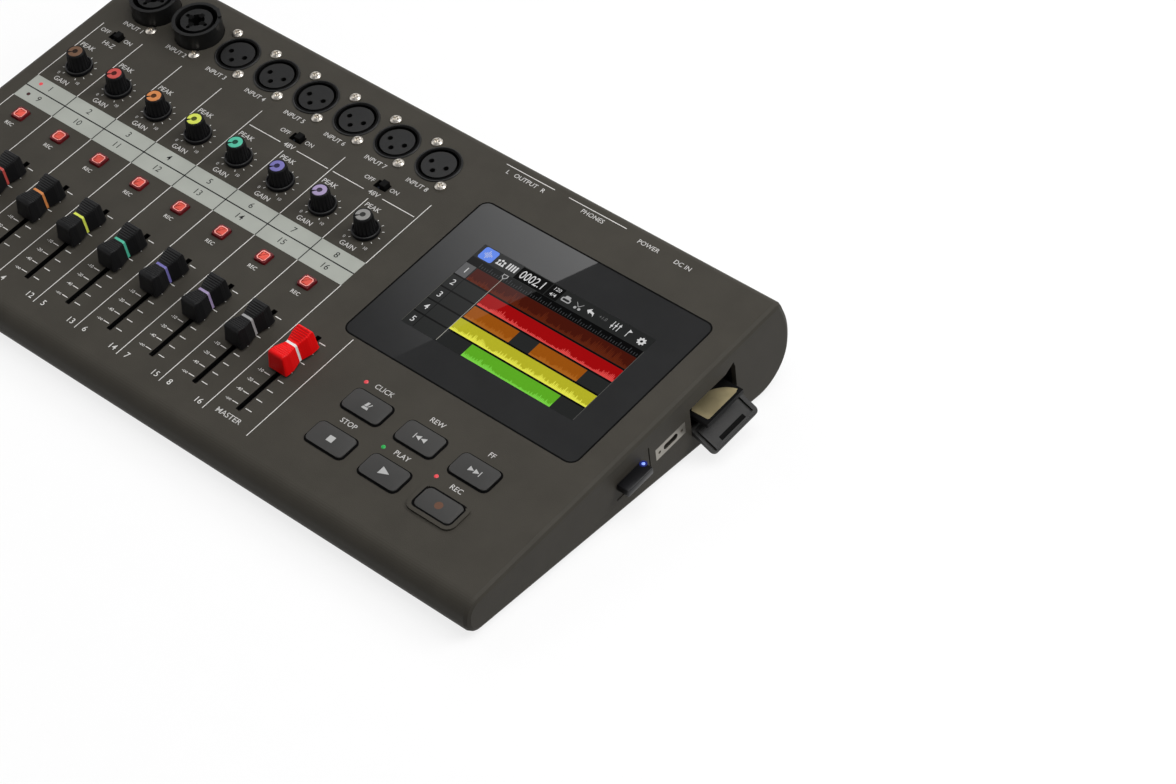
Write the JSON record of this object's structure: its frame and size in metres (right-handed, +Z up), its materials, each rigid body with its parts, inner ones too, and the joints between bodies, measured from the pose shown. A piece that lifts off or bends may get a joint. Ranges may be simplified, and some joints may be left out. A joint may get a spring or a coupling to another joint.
{
  "type": "digital multitrack recorder",
  "caption": "Desktop digital multitrack recorder: a sloped panel with input sockets, gain knobs, faders, a colour display and transport keys, and ports at the side and rear.",
  "frame": {"origin": "the table plane under the middle of the case, where the rubber feet stand", "axes": "+X to the right along the width, +Y to the rear, +Z up from the table"},
  "size_m": [0.3901, 0.206, 0.0564],
  "materials": {
    "case": "fine grained",
    "feet": "matte",
    "screw": "bright nickel",
    "window": "polished",
    "display": "satin",
    "board": "solder mask",
    "fader_frame": "plated",
    "control_part": "moulded",
    "lens": "translucent",
    "socket": "moulded",
    "steel": "plated",
    "knob": "soft black",
    "cap": "satin black",
    "master_cap": "satin red",
    "arm_key": "translucent red",
    "key": "soft touch",
    "lug": "moulded",
    "cover": "moulded",
    "card": "printed",
    "adapter": "polished"
  },
  "bodies": {
    "recorder": {"upper_case": "case", "lower_case": "case", "rubber_feet": "feet", "case_screws": "screw", "display_window": "window", "lcd_module": "display", "control_board": "board", "main_board": "board", "fader_bodies": "fader_frame", "rotary_pots": "control_part", "switch_bodies": "control_part", "tact_switches": "control_part", "indicator_lenses": "lens", "xlr_jacks": "socket", "combo_jacks": "socket", "jack_screws": "screw", "usb_socket": "steel", "card_socket": "socket", "adapter_socket": "socket", "rear_jacks": "socket", "dc_inlet": "socket"},
    "gain_knob_1": {"gain_knob_1": "knob"},
    "gain_knob_2": {"gain_knob_2": "knob"},
    "gain_knob_3": {"gain_knob_3": "knob"},
    "gain_knob_4": {"gain_knob_4": "knob"},
    "gain_knob_5": {"gain_knob_5": "knob"},
    "gain_knob_6": {"gain_knob_6": "knob"},
    "gain_knob_7": {"gain_knob_7": "knob"},
    "gain_knob_8": {"gain_knob_8": "knob"},
    "fader_1": {"fader_1": "cap"},
    "fader_2": {"fader_2": "cap"},
    "fader_3": {"fader_3": "cap"},
    "fader_4": {"fader_4": "cap"},
    "fader_5": {"fader_5": "cap"},
    "fader_6": {"fader_6": "cap"},
    "fader_7": {"fader_7": "cap"},
    "fader_8": {"fader_8": "cap"},
    "fader_master": {"fader_master": "master_cap"},
    "arm_key_1": {"arm_key_1": "arm_key"},
    "arm_key_2": {"arm_key_2": "arm_key"},
    "arm_key_3": {"arm_key_3": "arm_key"},
    "arm_key_4": {"arm_key_4": "arm_key"},
    "arm_key_5": {"arm_key_5": "arm_key"},
    "arm_key_6": {"arm_key_6": "arm_key"},
    "arm_key_7": {"arm_key_7": "arm_key"},
    "arm_key_8": {"arm_key_8": "arm_key"},
    "stop_key": {"stop_key": "key"},
    "play_key": {"play_key": "key"},
    "record_key": {"record_key": "key"},
    "click_key": {"click_key": "key"},
    "rewind_key": {"rewind_key": "key"},
    "forward_key": {"forward_key": "key"},
    "hi_z_switch": {"hi_z_switch": "lug"},
    "phantom_switch_a": {"phantom_switch_a": "lug"},
    "phantom_switch_b": {"phantom_switch_b": "lug"},
    "power_switch": {"power_switch": "lug"},
    "phones_knob": {"phones_knob": "knob"},
    "card_cover": {"card_cover": "cover"},
    "memory_card": {"memory_card": "card"},
    "wireless_adapter": {"wireless_adapter": "adapter"}
  },
  "joints": [
    {"name": "gain_turn_1", "type": "hinge", "parent": "recorder", "child": "gain_knob_1", "pos_m": [-0.1663, 0.02465, 0.03815], "axis": [0, 0.1426, -0.9898], "range_deg": [-14, 286]},
    {"name": "gain_turn_2", "type": "hinge", "parent": "recorder", "child": "gain_knob_2", "pos_m": [-0.1403, 0.02465, 0.03815], "axis": [0, 0.1426, -0.9898], "range_deg": [-14, 286]},
    {"name": "gain_turn_3", "type": "hinge", "parent": "recorder", "child": "gain_knob_3", "pos_m": [-0.1143, 0.02465, 0.03815], "axis": [0, 0.1426, -0.9898], "range_deg": [-14, 286]},
    {"name": "gain_turn_4", "type": "hinge", "parent": "recorder", "child": "gain_knob_4", "pos_m": [-0.0883, 0.02465, 0.03815], "axis": [0, 0.1426, -0.9898], "range_deg": [-14, 286]},
    {"name": "gain_turn_5", "type": "hinge", "parent": "recorder", "child": "gain_knob_5", "pos_m": [-0.0623, 0.02465, 0.03815], "axis": [0, 0.1426, -0.9898], "range_deg": [-14, 286]},
    {"name": "gain_turn_6", "type": "hinge", "parent": "recorder", "child": "gain_knob_6", "pos_m": [-0.0363, 0.02465, 0.03815], "axis": [0, 0.1426, -0.9898], "range_deg": [-14, 286]},
    {"name": "gain_turn_7", "type": "hinge", "parent": "recorder", "child": "gain_knob_7", "pos_m": [-0.0103, 0.02465, 0.03815], "axis": [0, 0.1426, -0.9898], "range_deg": [-14, 286]},
    {"name": "gain_turn_8", "type": "hinge", "parent": "recorder", "child": "gain_knob_8", "pos_m": [0.0157, 0.02465, 0.03815], "axis": [0, 0.1426, -0.9898], "range_deg": [-14, 286]},
    {"name": "fader_slide_1", "type": "slide", "parent": "recorder", "child": "fader_1", "axis": [0, 0.9898, 0.1426], "range_m": [-0.0321, 0.0129]},
    {"name": "fader_slide_2", "type": "slide", "parent": "recorder", "child": "fader_2", "axis": [0, 0.9898, 0.1426], "range_m": [-0.0321, 0.0129]},
    {"name": "fader_slide_3", "type": "slide", "parent": "recorder", "child": "fader_3", "axis": [0, 0.9898, 0.1426], "range_m": [-0.0321, 0.0129]},
    {"name": "fader_slide_4", "type": "slide", "parent": "recorder", "child": "fader_4", "axis": [0, 0.9898, 0.1426], "range_m": [-0.0321, 0.0129]},
    {"name": "fader_slide_5", "type": "slide", "parent": "recorder", "child": "fader_5", "axis": [0, 0.9898, 0.1426], "range_m": [-0.0321, 0.0129]},
    {"name": "fader_slide_6", "type": "slide", "parent": "recorder", "child": "fader_6", "axis": [0, 0.9898, 0.1426], "range_m": [-0.0321, 0.0129]},
    {"name": "fader_slide_7", "type": "slide", "parent": "recorder", "child": "fader_7", "axis": [0, 0.9898, 0.1426], "range_m": [-0.0321, 0.0129]},
    {"name": "fader_slide_8", "type": "slide", "parent": "recorder", "child": "fader_8", "axis": [0, 0.9898, 0.1426], "range_m": [-0.0321, 0.0129]},
    {"name": "fader_slide_master", "type": "slide", "parent": "recorder", "child": "fader_master", "axis": [0, 0.9898, 0.1426], "range_m": [-0.0321, 0.0129]},
    {"name": "arm_press_1", "type": "slide", "parent": "recorder", "child": "arm_key_1", "axis": [0, 0.1426, -0.9898], "range_m": [0, 0.0008], "stiffness_N_per_m": 600, "springref_m": -0.0004},
    {"name": "arm_press_2", "type": "slide", "parent": "recorder", "child": "arm_key_2", "axis": [0, 0.1426, -0.9898], "range_m": [0, 0.0008], "stiffness_N_per_m": 600, "springref_m": -0.0004},
    {"name": "arm_press_3", "type": "slide", "parent": "recorder", "child": "arm_key_3", "axis": [0, 0.1426, -0.9898], "range_m": [0, 0.0008], "stiffness_N_per_m": 600, "springref_m": -0.0004},
    {"name": "arm_press_4", "type": "slide", "parent": "recorder", "child": "arm_key_4", "axis": [0, 0.1426, -0.9898], "range_m": [0, 0.0008], "stiffness_N_per_m": 600, "springref_m": -0.0004},
    {"name": "arm_press_5", "type": "slide", "parent": "recorder", "child": "arm_key_5", "axis": [0, 0.1426, -0.9898], "range_m": [0, 0.0008], "stiffness_N_per_m": 600, "springref_m": -0.0004},
    {"name": "arm_press_6", "type": "slide", "parent": "recorder", "child": "arm_key_6", "axis": [0, 0.1426, -0.9898], "range_m": [0, 0.0008], "stiffness_N_per_m": 600, "springref_m": -0.0004},
    {"name": "arm_press_7", "type": "slide", "parent": "recorder", "child": "arm_key_7", "axis": [0, 0.1426, -0.9898], "range_m": [0, 0.0008], "stiffness_N_per_m": 600, "springref_m": -0.0004},
    {"name": "arm_press_8", "type": "slide", "parent": "recorder", "child": "arm_key_8", "axis": [0, 0.1426, -0.9898], "range_m": [0, 0.0008], "stiffness_N_per_m": 600, "springref_m": -0.0004},
    {"name": "stop_press", "type": "slide", "parent": "recorder", "child": "stop_key", "axis": [0, 0.1426, -0.9898], "range_m": [0, 0.0008], "stiffness_N_per_m": 900, "springref_m": -0.0004},
    {"name": "play_press", "type": "slide", "parent": "recorder", "child": "play_key", "axis": [0, 0.1426, -0.9898], "range_m": [0, 0.0008], "stiffness_N_per_m": 900, "springref_m": -0.0004},
    {"name": "record_press", "type": "slide", "parent": "recorder", "child": "record_key", "axis": [0, 0.1426, -0.9898], "range_m": [0, 0.0008], "stiffness_N_per_m": 900, "springref_m": -0.0004},
    {"name": "click_press", "type": "slide", "parent": "recorder", "child": "click_key", "axis": [0, 0.1426, -0.9898], "range_m": [0, 0.0008], "stiffness_N_per_m": 900, "springref_m": -0.0004},
    {"name": "rewind_press", "type": "slide", "parent": "recorder", "child": "rewind_key", "axis": [0, 0.1426, -0.9898], "range_m": [0, 0.0008], "stiffness_N_per_m": 900, "springref_m": -0.0004},
    {"name": "forward_press", "type": "slide", "parent": "recorder", "child": "forward_key", "axis": [0, 0.1426, -0.9898], "range_m": [0, 0.0008], "stiffness_N_per_m": 900, "springref_m": -0.0004},
    {"name": "hi_z_slide", "type": "slide", "parent": "recorder", "child": "hi_z_switch", "axis": [1, 0, 0], "range_m": [-0.0032, 0]},
    {"name": "phantom_slide_a", "type": "slide", "parent": "recorder", "child": "phantom_switch_a", "axis": [1, 0, 0], "range_m": [-0.0032, 0]},
    {"name": "phantom_slide_b", "type": "slide", "parent": "recorder", "child": "phantom_switch_b", "axis": [1, 0, 0], "range_m": [-0.0032, 0]},
    {"name": "power_slide", "type": "slide", "parent": "recorder", "child": "power_switch", "axis": [1, 0, 0], "range_m": [0, 0.0032]},
    {"name": "phones_turn", "type": "hinge", "parent": "recorder", "child": "phones_knob", "pos_m": [0.082, 0.096, 0.0235], "axis": [0, -1, 0], "range_deg": [-135, 135]},
    {"name": "cover_hinge", "type": "hinge", "parent": "recorder", "child": "card_cover", "pos_m": [0.1878, 0.05209, 0.01665], "axis": [0, -0.9898, -0.1426], "range_deg": [0, 117]},
    {"name": "card_slide", "type": "slide", "parent": "recorder", "child": "memory_card", "axis": [-1, 0, 0], "range_m": [0, 0.0125]},
    {"name": "adapter_slide", "type": "slide", "parent": "recorder", "child": "wireless_adapter", "axis": [1, 0, 0], "range_m": [0, 0.015]}
  ],
  "couplings": [
    {"joint": "cover_hinge", "follows": "card_slide", "rad_per_m": 163.36}
  ]
}
